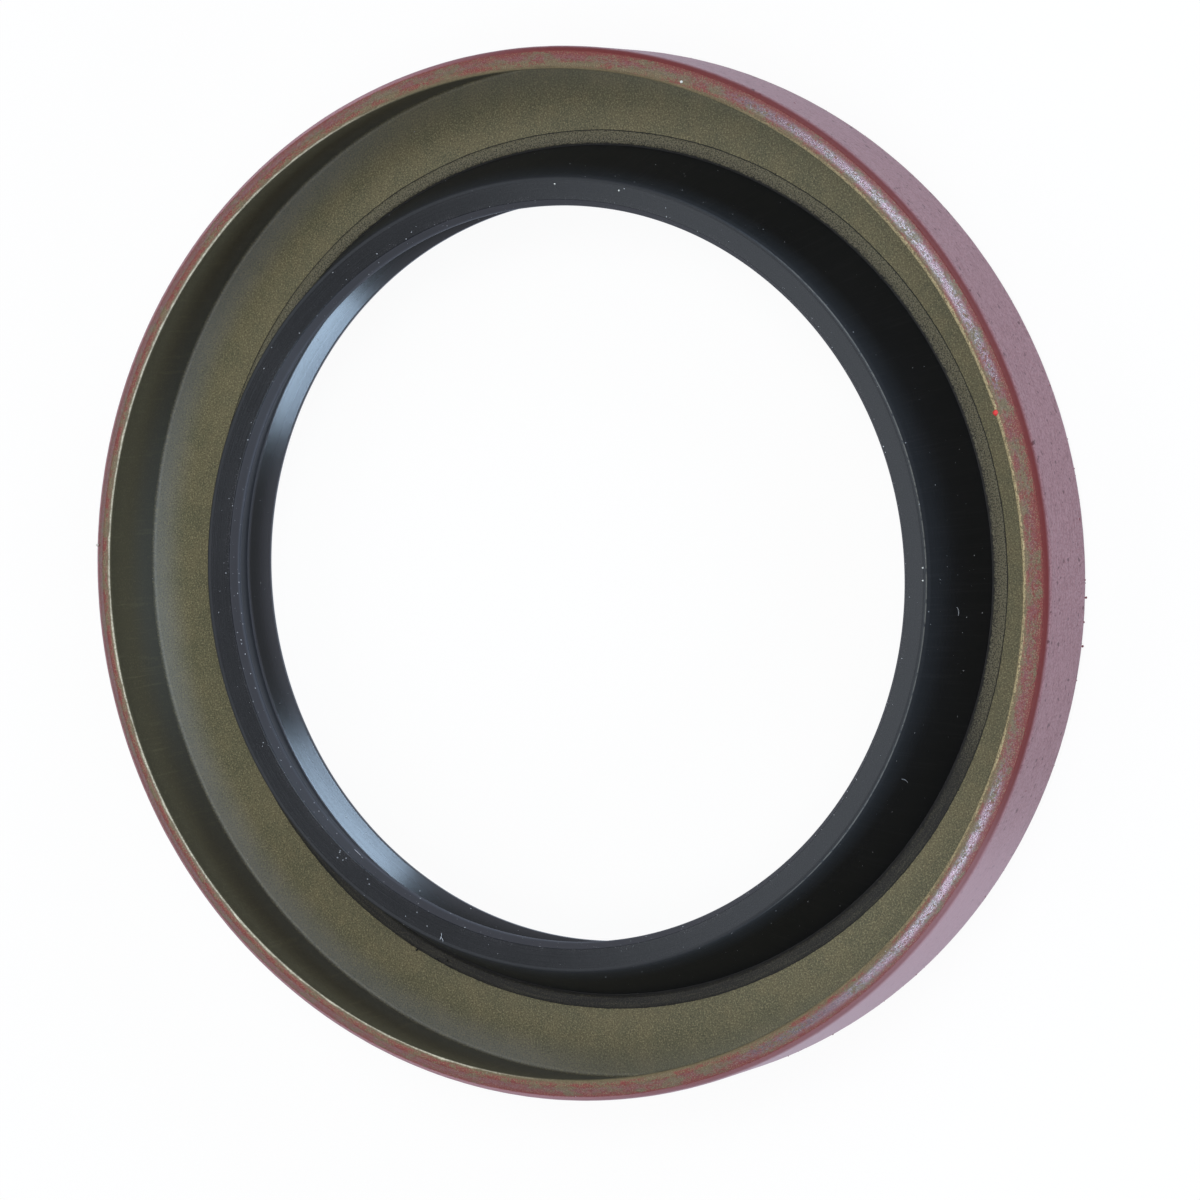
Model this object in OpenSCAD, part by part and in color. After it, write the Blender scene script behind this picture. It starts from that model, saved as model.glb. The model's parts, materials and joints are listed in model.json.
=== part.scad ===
// Radial shaft seal without a spring: a stamped L-section steel case, a red
// sealant coat round its outside and a rubber sealing element bonded to the
// inner edge of the flange. It lies on the back of its flange, open side up.
// Z is the shaft's axis and z = 0 is the back face. Every section is drawn in
// the plane of radius and height and turned about Z.

/* [Seal] */
// Outside diameter over the sealant, which is the housing bore
outer_d = 85; // [82:0.25:90]
// Diameter of the shaft that the lip runs on
shaft_d = 60; // [57:0.25:61]
// Overall width along the shaft
width = 10; // [9:0.1:13]

/* [Case] */
// Thickness of the steel sheet
sheet = 0.8; // [0.6:0.05:1.1]
// Inside radius of the bend between wall and flange
back_bend_r = 0.35; // [0.2:0.05:1.5]
// Inside radius of the bend that curls the front edge inwards
curl_bend_r = 0.4; // [0.2:0.05:0.8]
// Angle by which the front edge leans inwards from the wall
curl_angle = 45; // [25:1:60]
// How far the curled edge reaches inwards from the outside of the coat
curl_reach = 1.9; // [1.5:0.05:2.6]
// Clearance between the shaft and the hole in the flange, on the radius
flange_clearance = 3.2; // [2.75:0.05:4]

/* [Sealant coat] */
// Thickness of the sealant on the outside of the case
coat = 0.08; // [0.04:0.01:0.2]
// How far the coat follows the bend at the back, in degrees
coat_back_wrap = 50; // [10:5:90]

/* [Sealing element] */
// How much smaller the free sealing edge is than the shaft, on the diameter
lip_squeeze = 0.5; // [0.2:0.05:1.2]
// Height of the narrow land that touches the shaft
land_h = 0.25; // [0.15:0.05:0.5]
// How far the tip of the nose stays below the front of the case
nose_recess = 1.55; // [1:0.05:2.5]
// Width of the nose from the sealing edge to its outer corner
nose_w = 2.3; // [1.8:0.05:2.6]
// Slope of the trimmed front of the nose, down towards the shaft, in degrees
nose_slope = 12; // [0:1:20]
// Width of the bevel between the trimmed front and the sealing edge
bevel_w = 0.5; // [0.3:0.05:0.8]
// Depth of that bevel along the shaft
bevel_h = 0.9; // [0.5:0.05:1.2]
// Angle of the air side behind the sealing edge, from the shaft
air_angle = 19.5; // [15:0.5:24]
// Height of the hollow between the air side and the heel, above the back face
hollow_z = 1.8; // [1.6:0.1:2.4]
// Radius of the fillet in that hollow
hollow_fillet = 0.3; // [0.15:0.05:0.4]
// Clearance between the shaft and the heel, on the radius
heel_gap = 0.4; // [0.2:0.05:0.8]
// Height at which the heel's sloping shoulder turns into its short bore
heel_z = 0.65; // [0.6:0.05:1]
// How far the rubber overlaps the front of the flange
root_overlap = 1.6; // [1.2:0.05:2]
// How far the rubber stays back from the back face
heel_recess = 0.15; // [0.05:0.05:0.2]

/* [Hidden] */
$fn = 192;
ARC_STEPS = 10;
NOSE_ROUND = 0.25;
SHOULDER_ROUND = 0.2;
HEEL_ROUND = 0.3;

steel_r = outer_d / 2 - coat;
back_bend_out = back_bend_r + sheet;
curl_bend_out = curl_bend_r + sheet;
tip_r = sheet / 2;
// Middle of the rounded tip at the end of the curled edge
tip = [outer_d / 2 - curl_reach + tip_r, width - tip_r];
// The curl's bend ends where the line through the tip touches the sheet's middle
curl_mid_r = curl_bend_r + sheet / 2;
curl_start_r = steel_r - curl_bend_out + curl_mid_r * cos(curl_angle);
curl_run = (curl_start_r - tip.x) / sin(curl_angle);
curl_z = tip.y - curl_run * cos(curl_angle) - curl_mid_r * sin(curl_angle);
back_bend_centre = [steel_r - back_bend_out, back_bend_out];
curl_centre = [steel_r - curl_bend_out, curl_z];

flange_hole_r = shaft_d / 2 + flange_clearance;
root_r = flange_hole_r + root_overlap;
edge_r = (shaft_d - lip_squeeze) / 2;
heel_r = shaft_d / 2 + heel_gap;
nose_z = width - nose_recess;
bevel_z = nose_z - (nose_w - bevel_w) * tan(nose_slope);
edge_z = bevel_z - bevel_h;
hollow_edge_r = edge_r + (edge_z - land_h - hollow_z) * tan(air_angle);

// Part of a flat ring about a centre, between two angles less than 180 degrees apart
module ring_sector(centre, r_in, r_out, from, to) {
    reach = 3 * r_out;
    translate(centre)
        difference() {
            intersection() {
                circle(r_out);
                polygon([
                    [0, 0],
                    reach * [cos(from), sin(from)],
                    reach * [cos((from + to) / 2), sin((from + to) / 2)],
                    reach * [cos(to), sin(to)]
                ]);
            }
            circle(r_in);
        }
}

// Straight strip of the sheet from one point of its middle line to another
module strip(a, b, thickness) {
    run = b - a;
    translate(a)
        rotate(atan2(run.y, run.x))
            translate([0, -thickness / 2])
                square([norm(run), thickness]);
}

function unit(v) = v / norm(v);

// Points of the arc that rounds the corner b between its neighbours a and c
function corner(a, b, c, r) =
    let (
        u = unit(a - b),
        v = unit(c - b),
        half = acos(u * v) / 2,
        sweep = 180 - 2 * half,
        centre = b + unit(u + v) * r / sin(half),
        start = b + u * r / tan(half) - centre,
        end = b + v * r / tan(half) - centre
    )
    r == 0 ? [b] : [
        for (i = [0:ARC_STEPS])
            centre + (start * sin(sweep * (1 - i / ARC_STEPS)) + end * sin(sweep * i / ARC_STEPS)) / sin(sweep)
    ];

// Outline through a list of [point, corner radius]
function rounded(path) =
    let (n = len(path))
    [for (i = [0:n - 1])
        each corner(path[(i + n - 1) % n][0], path[i][0], path[(i + 1) % n][0], path[i][1])];

module case_section() {
    curl_end = curl_centre + curl_mid_r * [cos(curl_angle), sin(curl_angle)];
    wall_mid = steel_r - sheet / 2;
    strip([flange_hole_r, sheet / 2], [back_bend_centre.x, sheet / 2], sheet);
    ring_sector(back_bend_centre, back_bend_r, back_bend_out, -90, 0);
    strip([wall_mid, back_bend_centre.y], [wall_mid, curl_z], sheet);
    ring_sector(curl_centre, curl_bend_r, curl_bend_out, 0, curl_angle);
    strip(curl_end, tip, sheet);
    translate(tip)
        circle(tip_r);
}

module coat_section() {
    wall_mid = steel_r + coat / 2;
    ring_sector(back_bend_centre, back_bend_out, back_bend_out + coat, -coat_back_wrap, 0);
    strip([wall_mid, back_bend_centre.y], [wall_mid, curl_z], coat);
    ring_sector(curl_centre, curl_bend_out, curl_bend_out + coat, 0, curl_angle);
}

module element_section() {
    polygon(rounded([
        [[flange_hole_r, heel_recess], 0],
        [[flange_hole_r, sheet], 0],
        [[root_r, sheet], 0],
        [[edge_r + nose_w, nose_z], NOSE_ROUND],
        [[edge_r + bevel_w, bevel_z], 0],
        [[edge_r, edge_z], 0],
        [[edge_r, edge_z - land_h], 0],
        [[hollow_edge_r, hollow_z], hollow_fillet],
        [[heel_r, heel_z], SHOULDER_ROUND],
        [[heel_r, heel_recess], HEEL_ROUND]
    ]));
}

// Stamped steel case: wall, flange and curled front edge in one sheet
module case() {
    color("olivedrab")
        rotate_extrude()
            case_section();
}

// Red sealant round the outside of the case and over its two bends
module sealant_coat() {
    color("firebrick")
        rotate_extrude()
            coat_section();
}

// Rubber moulded round the flange's inner edge: heel, hollow and lip
module sealing_element() {
    color([0.12, 0.12, 0.13])
        rotate_extrude()
            element_section();
}

case();
sealant_coat();
sealing_element();
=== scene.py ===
"""Dresses a springless radial shaft seal: steel case, red sealant, rubber sealing element and dust.

The seal lies on its back, open side up, in the frame of its solids: Z is the shaft's axis and
z = 0 the back face. Sizes are in millimetres in the dataclasses and in metres in the meshes, and
azimuths are in degrees about Z.
"""

import json
import logging
import math
from collections.abc import Callable
from dataclasses import dataclass
from enum import Enum
from typing import Union

import bmesh
import bpy
from mathutils import Color, Matrix, Vector


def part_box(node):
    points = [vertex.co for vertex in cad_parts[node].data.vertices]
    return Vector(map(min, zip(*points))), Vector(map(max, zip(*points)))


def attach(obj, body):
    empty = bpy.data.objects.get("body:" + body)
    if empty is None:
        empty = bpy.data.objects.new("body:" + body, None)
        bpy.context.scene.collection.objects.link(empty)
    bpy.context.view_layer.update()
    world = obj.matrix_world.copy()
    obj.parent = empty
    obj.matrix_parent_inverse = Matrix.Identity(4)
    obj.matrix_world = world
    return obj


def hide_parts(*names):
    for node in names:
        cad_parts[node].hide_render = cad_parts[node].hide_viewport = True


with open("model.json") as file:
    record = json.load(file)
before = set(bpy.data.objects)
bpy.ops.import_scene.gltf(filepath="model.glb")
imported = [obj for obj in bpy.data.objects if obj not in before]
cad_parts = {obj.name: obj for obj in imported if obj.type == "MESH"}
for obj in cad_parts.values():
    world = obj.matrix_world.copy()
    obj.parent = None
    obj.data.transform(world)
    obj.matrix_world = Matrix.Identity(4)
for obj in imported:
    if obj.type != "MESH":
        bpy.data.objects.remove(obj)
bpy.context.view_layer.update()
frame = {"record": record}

MM = 0.001
SQUARE_CM = 1e-4
BODY = "root"
log = logging.getLogger("shaft_seal")

Colour = tuple[float, float, float, float]
# Where a soft step is 0 and where it is 1
Step = tuple[float, float]
# Part of the ring: its middle azimuth and how far it spreads to both sides
Sector = tuple[float, float]
# A constant and what each mask adds to it
Weights = tuple[float, ...]

DISPLAY_TOP = 255
WHITE: Colour = (1.0, 1.0, 1.0, 1.0)


def paint(red: int, green: int, blue: int) -> Colour:
    """The linear colour of three 8-bit values that a picture would show."""
    shown = Color((red, green, blue)) / DISPLAY_TOP
    return (*shown.from_srgb_to_scene_linear(), 1.0)


def shaded(colour: Colour, share: float) -> Colour:
    """A darker colour that has this share of another's light."""
    return tuple(share * channel for channel in colour)


class Slot(Enum):
    """Material slots of the record."""

    STEEL = "phosphated_steel"
    SEALANT = "red_sealant"
    RUBBER = "black_rubber"


Value = Union["Wire", float]


def maths(operation: str, swapped: bool = False) -> Callable[..., "Wire"]:
    """Writes a method of Wire that adds a Math node.

    Args:
        operation: what the node does.
        swapped: whether the wire comes after the other value, as in 1 - mask.

    Returns:
        The method, which takes the node's other value where it has one.
    """

    def method(wire: "Wire", *others: Value) -> "Wire":
        """The node's output."""
        values = (*others, wire) if swapped else (wire, *others)
        return wire.bench.wire("ShaderNodeMath", "Value", {"operation": operation}, dict(enumerate(values)))

    return method


class Wire:
    """A number in a node tree that takes part in Python arithmetic."""

    def __init__(self, bench: "Bench", socket: bpy.types.NodeSocket) -> None:
        """Wraps an output socket of a node on a bench."""
        self.bench = bench
        self.socket = socket

    __add__ = __radd__ = maths("ADD")
    __sub__ = maths("SUBTRACT")
    __rsub__ = maths("SUBTRACT", swapped=True)
    __mul__ = __rmul__ = maths("MULTIPLY")
    __truediv__ = maths("DIVIDE")
    __rtruediv__ = maths("DIVIDE", swapped=True)
    __pow__ = maths("POWER")
    __mod__ = maths("FLOORED_MODULO")
    floor = maths("FLOOR")
    sine = maths("SINE")
    cosine = maths("COSINE")
    most = maths("MAXIMUM")
    above = maths("GREATER_THAN")

    def swing(self) -> "Wire":
        """Noise from 0 to 1 as a value that swings about 0."""
        return self - 0.5

    def rise(self, low: float, high: float) -> "Wire":
        """A smooth step.

        Args:
            low: where the step is 0.
            high: where the step is 1, which may lie below low.

        Returns:
            The step as a wire from 0 to 1.
        """
        smooth = {"interpolation_type": "SMOOTHSTEP"}
        sockets = {"Value": self, "From Min": low, "From Max": high}
        return self.bench.wire("ShaderNodeMapRange", "Result", smooth, sockets)


def weigh(weights: Weights, *masks: Wire) -> Value:
    """A constant, the first weight, plus each mask times its own weight."""
    total, *shares = weights
    for share, mask in zip(shares, masks, strict=True):
        total = total + share * mask
    return total


class Bench:
    """A node tree, with one method that adds any node to it."""

    def __init__(self, tree: bpy.types.NodeTree) -> None:
        """Starts work on an empty or existing tree."""
        self.tree = tree

    def node(self, kind: str, settings: dict | None = None, sockets: dict | None = None) -> bpy.types.Node:
        """Adds a node.

        Args:
            kind: the node's type.
            settings: its properties, which are set first.
            sockets: a value or a link for each input, by name or by number.

        Returns:
            The node.
        """
        made = self.tree.nodes.new(kind)
        for name, value in (settings or {}).items():
            setattr(made, name, value)
        for key, value in (sockets or {}).items():
            self.feed(self.find(made.inputs, key), value)
        return made

    def wire(
        self, kind: str, output: str, settings: dict | None = None, sockets: dict | None = None
    ) -> Wire:
        """Adds a node and returns one of its outputs as a wire."""
        return Wire(self, self.find(self.node(kind, settings, sockets).outputs, output))

    def find(self, sockets: bpy.types.bpy_prop_collection, key: str | int) -> bpy.types.NodeSocket:
        """The socket of that number, or the first one in use that has that name."""
        if isinstance(key, int):
            return sockets[key]
        return next(socket for socket in sockets if socket.enabled and socket.name == key)

    def feed(self, socket: bpy.types.NodeSocket, value: object) -> None:
        """Links a wire or a socket to an input, or sets the input's own value."""
        if isinstance(value, Wire):
            self.tree.links.new(value.socket, socket)
        elif isinstance(value, bpy.types.NodeSocket):
            self.tree.links.new(value, socket)
        else:
            socket.default_value = value

    def vector(self, x: Value, y: Value, z: Value) -> Wire:
        """A vector from three values."""
        return self.wire("ShaderNodeCombineXYZ", "Vector", None, {"X": x, "Y": y, "Z": z})

    def split(self, vector: Wire) -> tuple[Wire, Wire, Wire]:
        """The three values of a vector."""
        parts = self.node("ShaderNodeSeparateXYZ", None, {"Vector": vector})
        return tuple(Wire(self, parts.outputs[axis]) for axis in range(3))

    def scaled(self, vector: Wire, factor: Value) -> Wire:
        """A vector times a number."""
        sockets = {"Vector": vector, "Scale": factor}
        return self.wire("ShaderNodeVectorMath", "Vector", {"operation": "SCALE"}, sockets)

    def off_axis(self, east: Wire, north: Wire) -> Wire:
        """Distance from the shaft's axis."""
        return (east * east + north * north) ** 0.5

    def noise(self, vector: Wire, size: float, detail: float = 2.0, roughness: float = 0.5) -> Wire:
        """Smooth noise from 0 to 1.

        Args:
            vector: where it is read.
            size: width of its largest blobs, in the vector's unit.
            detail: how many finer layers are added.
            roughness: how strong they are.

        Returns:
            The noise as a wire.
        """
        sockets = {"Vector": vector, "Scale": 1 / size, "Detail": detail, "Roughness": roughness}
        return self.wire("ShaderNodeTexNoise", "Fac", {"noise_dimensions": "3D"}, sockets)

    def blend(self, share: Value, first: Wire | Colour, second: Wire | Colour) -> Wire:
        """A colour between two others, the first where share is 0."""
        sockets = {"Factor": share, "A": first, "B": second}
        return self.wire("ShaderNodeMix", "Result", {"data_type": "RGBA"}, sockets)


class Place(Bench):
    """A material's tree that knows where on the ring it is, in millimetres."""

    TURN_RADIUS = 40.0
    IOR = 1.5

    def __init__(self, material: bpy.types.Material) -> None:
        """Clears the material's tree and works out the place on the ring."""
        material.use_nodes = True
        material.node_tree.nodes.clear()
        super().__init__(material.node_tree)
        self.point = self.scaled(self.wire("ShaderNodeTexCoord", "Object"), 1 / MM)
        east, north, self.height = self.split(self.point)
        self.radius = self.off_axis(east, north)
        self.cosine = east / self.radius
        self.sine = north / self.radius

    def towards(self, azimuth: float, spread: float) -> Wire:
        """A mask round the ring, 1 at an azimuth and 0 past the spread on both sides."""
        angle = math.radians(azimuth)
        facing = self.cosine * math.cos(angle) + self.sine * math.sin(angle)
        return facing.rise(math.cos(math.radians(spread)), 1.0)

    def shade(self, surface: dict, bumps: tuple[tuple[Wire, float], ...]) -> None:
        """Ends the tree in a Principled shader.

        Args:
            surface: its sockets' values and links.
            bumps: pairs of a height from 0 to 1 and what it stands for in millimetres.
        """
        normal: dict[str, Wire] = {}
        for height, size in bumps:
            sockets = {"Height": height, "Distance": size * MM, "Strength": 1.0, **normal}
            normal = {"Normal": self.wire("ShaderNodeBump", "Normal", None, sockets)}
        sockets = {"IOR": self.IOR, **surface, **normal}
        shader = self.node("ShaderNodeBsdfPrincipled", None, sockets)
        self.node("ShaderNodeOutputMaterial", None, {"Surface": shader.outputs["BSDF"]})


@dataclass(frozen=True)
class Grain:
    """Noise that is equally large in all directions; size and depth of relief are in millimetres."""

    size: float
    detail: float = 2.0
    roughness: float = 0.5
    depth: float = 0.0

    def on(self, place: Place) -> Wire:
        """The noise on a material."""
        return place.noise(place.point, self.size, self.detail, self.roughness)


@dataclass(frozen=True)
class Streaks:
    """Noise with blobs of one length round the ring and another width across it."""

    length: float
    width: float
    detail: float = 2.0
    roughness: float = 0.5
    depth: float = 0.0

    def on(self, place: Place, across: Wire) -> Wire:
        """The noise on a material, across its radius, its height or their sum."""
        turn = Place.TURN_RADIUS / self.length
        point = place.vector(place.cosine * turn, place.sine * turn, across / self.width)
        return place.noise(point, 1.0, self.detail, self.roughness)


@dataclass(frozen=True)
class Stain:
    """A colour that comes in where a pattern passes a soft step, up to its share."""

    colour: Colour
    low: float
    high: float
    share: float = 1.0

    def over(self, pattern: Wire, colour: Wire | Colour, where: Value = 1.0) -> Wire:
        """Lays the stain over a colour.

        Args:
            pattern: the pattern that decides where the stain is.
            colour: the colour under it.
            where: a mask that weakens it.

        Returns:
            The stained colour.
        """
        cover = pattern.rise(self.low, self.high) * (self.share * where)
        return pattern.bench.blend(cover, colour, self.colour)


@dataclass(frozen=True)
class Finish:
    """A material of the seal."""

    name: str

    def build(self) -> bpy.types.Material:
        """Makes the material."""
        material = bpy.data.materials.new(self.name)
        self.dress(Place(material))
        return material

    def dress(self, place: Place) -> None:
        """Fills the material's cleared tree."""
        raise NotImplementedError


@dataclass(frozen=True)
class WornEdge:
    """The front edge, rubbed through from red over olive steel to bare flecks and a pale tip, with painted
    highlights on the tip and painted glints.

    Places across the edge run from 0 at its outer side to 1 at its inner side.
    """

    grain: Grain = Grain(0.15, 2.0, 0.7)
    fine: Grain = Grain(0.09, 1.0)
    blots: Streaks = Streaks(1.8, 0.7, 3.0, 0.65)
    crystals: Streaks = Streaks(0.24, 0.12, 2.0, 0.6)
    stipple: Weights = (0.0, 1.5, 2.2)
    outer: float = 42.1
    inner: float = 40.6
    start: float = 9.12
    start_step: Step = (-0.1, 0.12)
    start_wobble: float = 0.4
    inner_side: Step = (50.3, 50.5)
    beside_coat: Step = (9.24, 9.04)
    # Side where the pale tip is wider and paler: wear, and painted highlight of the crest
    worn_and_lit_side: Sector = (272.0, 70.0)
    far_side: Sector = (92.0, 88.0)
    far_step: Step = (0.0, 0.3)
    olive: Colour = paint(102, 88, 62)
    red: Stain = Stain(paint(118, 40, 38), 0.2, 0.7)
    redness: Weights = (0.64, 1.0, 0.3, -0.4, 0.22)
    pale: Stain = Stain(paint(146, 130, 100), 0.52, 0.7)
    pale_share: Weights = (0.6, -0.3)
    dark: Stain = Stain(paint(62, 44, 34), 0.46, 0.3, 0.55)
    brown: Colour = paint(98, 85, 60)
    cream: Stain = Stain(paint(186, 172, 132), 0.36, 0.56)
    cream_share: Weights = (0.15, 0.85)
    tip_step: Step = (0.82, 0.96)
    tip_reach: Weights = (0.0, 1.0, 0.1, 0.16)
    # Painted highlight: a pale cream line on the inner rim of the tip, on the far side only
    far_edge_highlight: Stain = Stain(paint(222, 212, 188), 0.9, 0.97)
    far_highlight_wobble: float = 0.16
    far_highlight_grain: Step = (0.35, 0.6)
    far_highlight_share: Weights = (0.45, 0.5)
    # Bare metal of the flecks, in a pale bluish grey that is partly painted glint
    metal: Colour = paint(150, 140, 148)
    metal_share: float = 0.5
    fleck_step: Step = (0.44, 0.62)
    fleck_weights: Weights = (0.0, 1.0, 0.6, 0.13)
    fleck_outer: Step = (0.1, 0.35)
    fleck_inner: Step = (0.72, 0.48)
    # Painted glints: the flecks gather on the two sides where the lamps reflect in the edge
    lamp_glint_sides: tuple[Sector, Sector] = ((306.0, 26.0), (219.0, 26.0))
    lamp_glint_step: Step = (0.0, 0.3)
    lamp_glint_share: Weights = (0.3, 0.7)

    def over(self, place: Place, colour: Wire) -> tuple[Wire, Wire]:
        """Lays the worn edge over the colour of the steel or the sealant.

        Args:
            place: the material's tree.
            colour: the colour away from the edge.

        Returns:
            The colour with the edge in it, and where bare metal shows.
        """
        grain = self.grain.on(place)
        fine = self.fine.on(place)
        blots = self.blots.on(place, place.radius)
        across = (self.outer - place.radius) / (self.outer - self.inner)
        worn_and_lit_side = place.towards(*self.worn_and_lit_side)
        far_side = place.towards(*self.far_side).rise(*self.far_step)
        beside_coat = place.height.rise(*self.beside_coat)
        stipple = weigh(self.stipple, grain.swing(), blots.swing())
        redness = weigh(self.redness, stipple, beside_coat, across, far_side * across)
        edge = self.red.over(redness, self.olive)
        edge = self.pale.over(fine, edge, weigh(self.pale_share, beside_coat))
        edge = self.dark.over(fine, edge)
        # Pale bare tip: wear, made paler and wider on the camera side as painted highlight
        bare = self.cream.over(grain, self.brown, weigh(self.cream_share, worn_and_lit_side))
        tip = weigh(self.tip_reach, across, worn_and_lit_side, stipple).rise(*self.tip_step)
        edge = place.blend(tip, edge, bare)
        # Painted highlight along the tip's inner rim on the far side
        broken = weigh(self.far_highlight_share, grain.rise(*self.far_highlight_grain))
        edge = self.far_edge_highlight.over(across + self.far_highlight_wobble * blots.swing(), edge, far_side * broken)
        outside = (place.radius + place.height).rise(*self.inner_side)
        raised = place.height + self.start_wobble * grain.swing() - self.start
        begun = raised.rise(*self.start_step) * outside
        flecks = self._flecks(place, across, blots) * begun
        return place.blend(flecks * self.metal_share, place.blend(begun, colour, edge), self.metal), flecks

    def _flecks(self, place: Place, across: Wire, blots: Wire) -> Wire:
        """Where bare metal flecks lie: along the middle of the edge, gathered as painted glints on the two
        sides where the lamps reflect.
        """
        first, second = (place.towards(*side) for side in self.lamp_glint_sides)
        lamp_glint = first.most(second)
        crystals = self.crystals.on(place, place.radius)
        glints = weigh(self.fleck_weights, crystals, blots.swing(), lamp_glint).rise(*self.fleck_step)
        middle = across.rise(*self.fleck_outer) * across.rise(*self.fleck_inner)
        return glints * middle * weigh(self.lamp_glint_share, lamp_glint.rise(*self.lamp_glint_step))


@dataclass(frozen=True)
class PhosphatedSteel(Finish):
    """Olive phosphate and bonding coat on the steel: grainy flange with a painted grey sheen near the wall,
    and a wall painted darker as shade.
    """

    name: str = "phosphated_steel"
    cloud: Grain = Grain(2.5, 3.0, 0.6)
    grain: Grain = Grain(0.13, 2.0, 0.75, depth=0.025)
    fine: Grain = Grain(0.08, 1.0, depth=0.015)
    marks: Streaks = Streaks(0.25, 6.0, 2.0, 0.6)
    green: Colour = paint(100, 97, 71)
    gold: Stain = Stain(paint(113, 106, 77), 0.35, 0.65)
    fleck: Stain = Stain(paint(164, 156, 118), 0.5, 0.68, 0.7)
    speck: Stain = Stain(paint(54, 51, 38), 0.47, 0.32, 0.6)
    # Painted sheen: grey that grows on the flange towards the wall, strongest on one side of the ring
    grey_sheen_start: float = 38.2
    wall_radius: float = 41.62
    grey_sheen: Stain = Stain(paint(130, 132, 127), grey_sheen_start, wall_radius)
    grey_sheen_wobble: float = 0.8
    grey_sheen_side: Sector = (95.0, 92.0)
    grey_sheen_side_step: Step = (0.05, 0.45)
    grey_sheen_share: Weights = (0.3, 0.55)
    # Painted shade: the flange darkens in the last 0.3 mm before the wall
    corner: Stain = Stain(speck.colour, wall_radius - 0.3, wall_radius, 0.8)
    # Painted shade: the wall is darker than the flange; painted sheen: greyer towards its foot
    shaded_wall_colour: Colour = paint(76, 69, 51)
    wall_foot_sheen: Stain = Stain(paint(81, 81, 75), 5.5, 1.2)
    mark: Stain = Stain(fleck.colour, 0.55, 0.8, 0.12)
    above_corner: Step = (0.9, 1.15)
    wall_side: Step = (wall_radius - 0.35, wall_radius - 0.05)
    curl: Step = (8.0, 8.3)
    wall_contrast: Weights = (1.0, -0.65)
    grey_sheen_contrast: Weights = (1.0, -0.4)
    metallic: float = 0.6
    roughness: Weights = (0.46, 0.14, 0.12, -0.34)
    coat: Weights = (0.12, 0.1)
    coat_roughness: float = 0.4
    edge: WornEdge = WornEdge(start=8.9)

    def dress(self, place: Place) -> None:
        """Paints flange, wall and worn edge, and roughens them."""
        cloud = self.cloud.on(place)
        grain = self.grain.on(place)
        straight = place.radius.rise(*self.wall_side)
        wall = straight.most(place.height.rise(*self.curl)) * place.height.rise(*self.above_corner)
        colour = place.blend(wall, self._flange(place, cloud), self._wall(place))
        sheened = place.radius.rise(self.grey_sheen_start, self.wall_radius)
        contrast = weigh(self.wall_contrast, wall) * weigh(self.grey_sheen_contrast, sheened)
        colour = self.fleck.over(grain, colour, contrast)
        colour = self.speck.over(grain, colour, contrast)
        colour, flecks = self.edge.over(place, colour)
        surface = {
            "Base Color": colour,
            "Metallic": self.metallic * flecks,
            "Roughness": weigh(self.roughness, cloud, grain, flecks),
            "Coat Weight": weigh(self.coat, cloud),
            "Coat Roughness": self.coat_roughness,
        }
        place.shade(surface, ((grain, self.grain.depth), (self.fine.on(place), self.fine.depth)))

    def _flange(self, place: Place, cloud: Wire) -> Wire:
        """Olive, with a painted grey sheen that grows towards the wall and painted shade in the corner."""
        colour = self.gold.over(cloud, self.green)
        side = place.towards(*self.grey_sheen_side).rise(*self.grey_sheen_side_step)
        reach = place.radius + self.grey_sheen_wobble * cloud.swing()
        colour = self.grey_sheen.over(reach, colour, weigh(self.grey_sheen_share, side))
        return self.corner.over(place.radius, colour)

    def _wall(self, place: Place) -> Wire:
        """Brown-olive painted darker as shade, with faint drawing marks along the shaft and a painted grey
        sheen towards the flange.
        """
        colour = self.wall_foot_sheen.over(place.height, self.shaded_wall_colour)
        return self.mark.over(self.marks.on(place, place.height), colour)


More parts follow.
